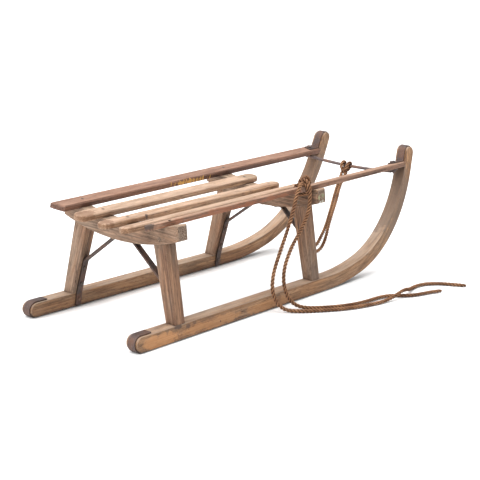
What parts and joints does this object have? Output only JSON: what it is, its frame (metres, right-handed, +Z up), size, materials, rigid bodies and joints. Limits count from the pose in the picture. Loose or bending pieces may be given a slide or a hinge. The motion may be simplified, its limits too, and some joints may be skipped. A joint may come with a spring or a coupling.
{
  "type": "sledge",
  "caption": "Old wooden sledge: two upturned iron-shod runners, bowed crossbars on splayed legs, slatted seat with side rails, iron stays, pull rod and a knotted rope.",
  "frame": {"origin": "on the ground, midway along the runners' whole length and midway between them", "axes": "+X forward, towards the upturned tips; +Y to the rider's left; +Z up"},
  "size_m": [1.0398, 0.5588, 0.3025],
  "materials": {
    "runner_wood": "weathered, matte, worn edges",
    "frame_wood": "weathered, matte",
    "rail_wood": "weathered, faded brown, matte",
    "slat_wood": "weathered, worn pale, matte",
    "peg_wood": "weathered, matte",
    "strap_iron": "aged wrought iron, dull brown-black",
    "rod_iron": "aged wrought iron, dull brown-black",
    "bolt_iron": "aged iron, dull",
    "screw_iron": "aged iron, dull",
    "rope": "twisted natural fibre, matte"
  },
  "bodies": {
    "root": {"crossbar_pegs": "peg_wood", "front_crossbar": "frame_wood", "front_left_leg": "frame_wood", "front_left_stay": "strap_iron", "front_right_leg": "frame_wood", "front_right_stay": "strap_iron", "iron_screws": "screw_iron", "left_rail": "rail_wood", "left_runner": "runner_wood", "left_runner_iron": "strap_iron", "left_slat": "slat_wood", "middle_slat": "slat_wood", "pull_rod": "rod_iron", "rail_hitch": "rope", "rear_crossbar": "frame_wood", "rear_left_leg": "frame_wood", "rear_left_stay": "strap_iron", "rear_right_leg": "frame_wood", "rear_right_stay": "strap_iron", "right_rail": "rail_wood", "right_runner": "runner_wood", "right_runner_iron": "strap_iron", "right_slat": "slat_wood", "rod_hitch": "rope", "rope_strand_left": "rope", "rope_strand_right": "rope", "rope_tail_left": "rope", "rope_tail_right": "rope", "seat_screws": "screw_iron", "stay_screws": "screw_iron", "tab_bolts": "bolt_iron", "tab_nuts": "bolt_iron"}
  },
  "joints": []
}
